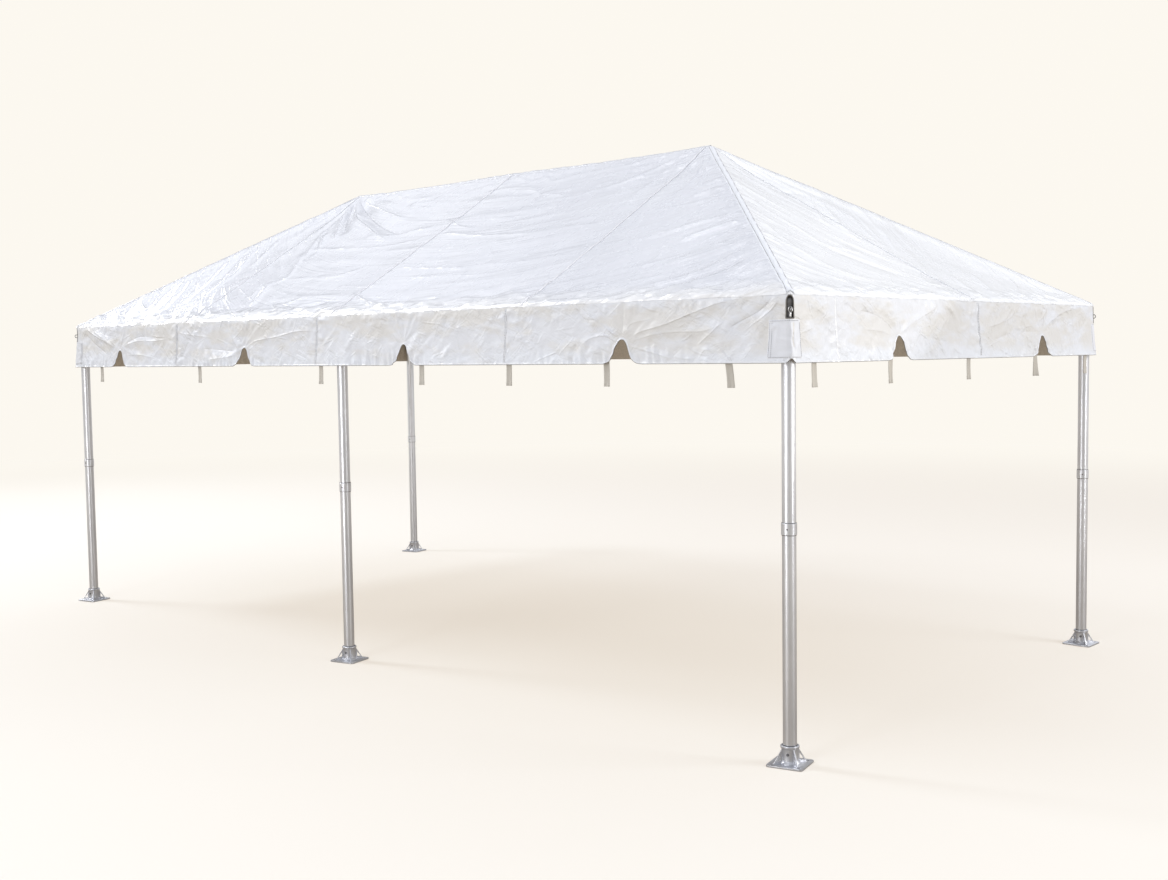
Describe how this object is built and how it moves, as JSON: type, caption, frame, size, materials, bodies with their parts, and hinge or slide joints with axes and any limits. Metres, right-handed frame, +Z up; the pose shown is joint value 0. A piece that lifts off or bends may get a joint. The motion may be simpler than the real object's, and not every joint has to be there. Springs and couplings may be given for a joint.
{
  "type": "marquee tent",
  "caption": "Free-standing frame marquee with a white hip-roof vinyl cover, notched valance, aluminium tube frame and legs on cast base plates.",
  "frame": {"origin": "On the floor, under the middle of the tent.", "axes": "+X runs along the long side, +Y across to the side without a middle leg, +Z up."},
  "size_m": [6.2874, 3.2394, 2.938],
  "materials": {
    "tube": "brushed mill finish",
    "cast_plate": "as cast, satin",
    "fitting": "dull grey cast",
    "cover": "glossy coated fabric",
    "webbing": "woven webbing"
  },
  "bodies": {
    "root": {"base_plate_front_right": "cast_plate", "base_plate_front_left": "cast_plate", "base_plate_front_middle": "cast_plate", "base_plate_back_left": "cast_plate", "base_plate_back_right": "cast_plate", "lower_leg_front_right": "tube", "lower_leg_front_left": "tube", "lower_leg_front_middle": "tube", "lower_leg_back_left": "tube", "lower_leg_back_right": "tube", "upper_leg_front_right": "tube", "upper_leg_front_left": "tube", "upper_leg_front_middle": "tube", "upper_leg_back_left": "tube", "upper_leg_back_right": "tube", "corner_fitting_front_right": "fitting", "corner_fitting_front_left": "fitting", "corner_fitting_back_left": "fitting", "corner_fitting_back_right": "fitting", "side_tee_front": "fitting", "side_tee_back": "fitting", "crown_fitting_right": "fitting", "crown_fitting_left": "fitting", "ridge_tee": "fitting", "eave_tube_front_right": "tube", "eave_tube_front_left": "tube", "eave_tube_back_right": "tube", "eave_tube_back_left": "tube", "eave_tube_right_end": "tube", "eave_tube_left_end": "tube", "ridge_tube_right": "tube", "ridge_tube_left": "tube", "middle_rafter_front": "tube", "middle_rafter_back": "tube", "hip_rafter_front_right": "tube", "hip_rafter_front_left": "tube", "hip_rafter_back_left": "tube", "hip_rafter_back_right": "tube", "roof_slope_front": "cover", "roof_slope_back": "cover", "roof_slope_right_end": "cover", "roof_slope_left_end": "cover", "valance_front": "cover", "valance_back": "cover", "valance_right_end": "cover", "valance_left_end": "cover", "tie_straps_front": "webbing", "tie_straps_right_end": "webbing"}
  },
  "joints": []
}
